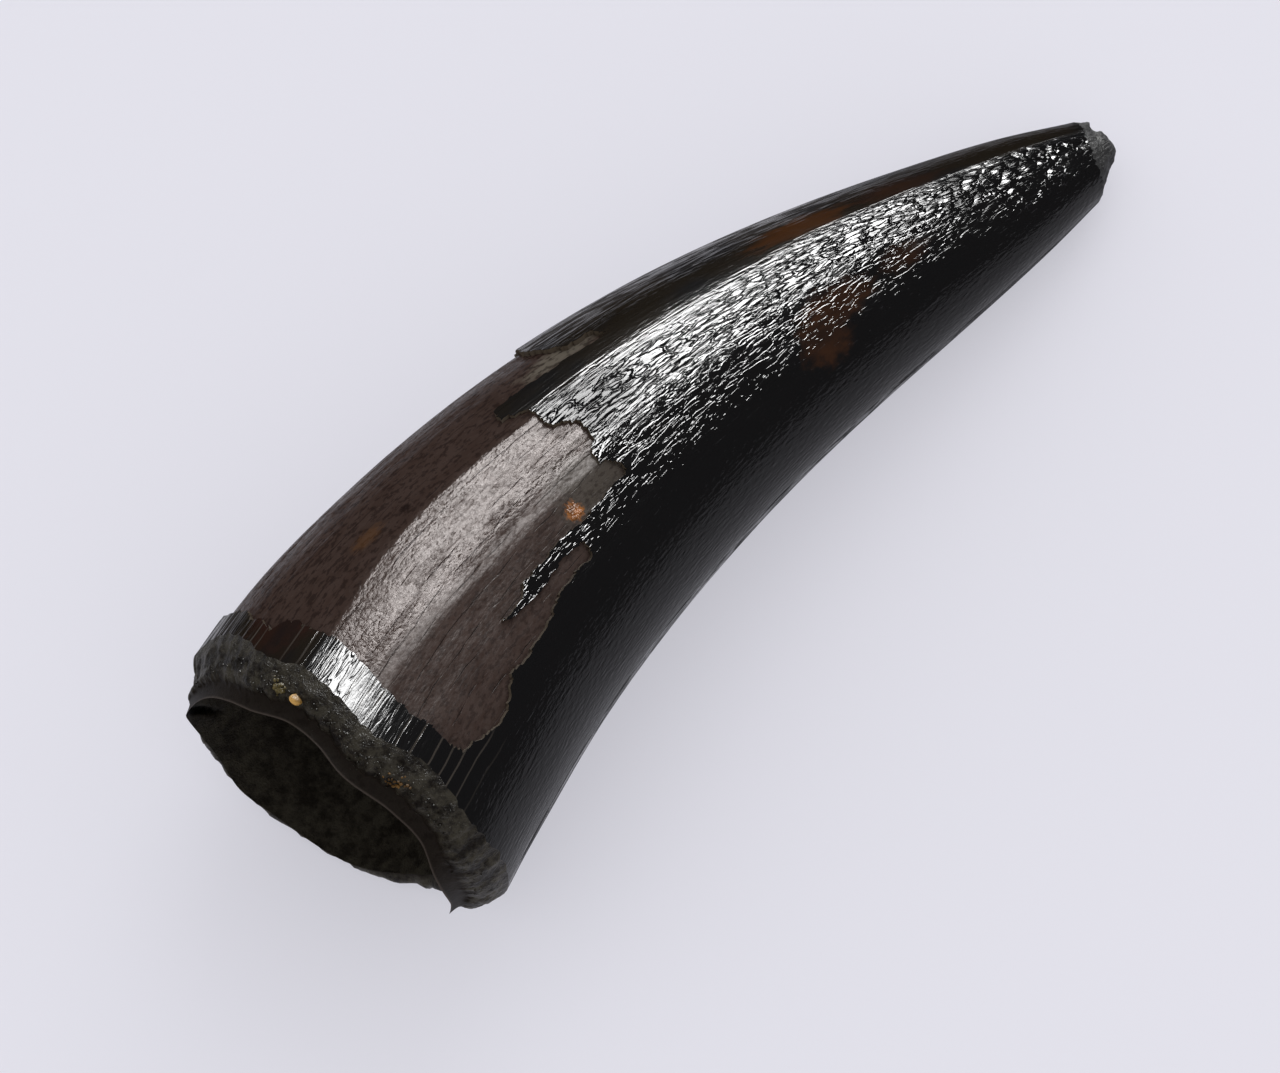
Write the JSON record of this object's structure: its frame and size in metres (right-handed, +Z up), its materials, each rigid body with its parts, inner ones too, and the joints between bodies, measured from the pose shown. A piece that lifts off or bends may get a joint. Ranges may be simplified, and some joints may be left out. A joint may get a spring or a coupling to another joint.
{
  "type": "fossil crocodile tooth",
  "caption": "Fossil crocodile tooth lying on its side: curved keeled cone, flaked glossy enamel, hollow broken base.",
  "frame": {"origin": "on the level surface the tooth lies on, under the middle of its bounding box", "axes": "+Z up; +X from the broken base towards the tip; the tooth bends round towards -Y"},
  "size_m": [0.0345, 0.0118, 0.0109],
  "materials": {
    "tooth_surface": "near-black glossy fossil enamel, with satin grey-brown dentine where it has flaked off"
  },
  "bodies": {
    "root": {"tooth": "tooth_surface"}
  },
  "joints": []
}
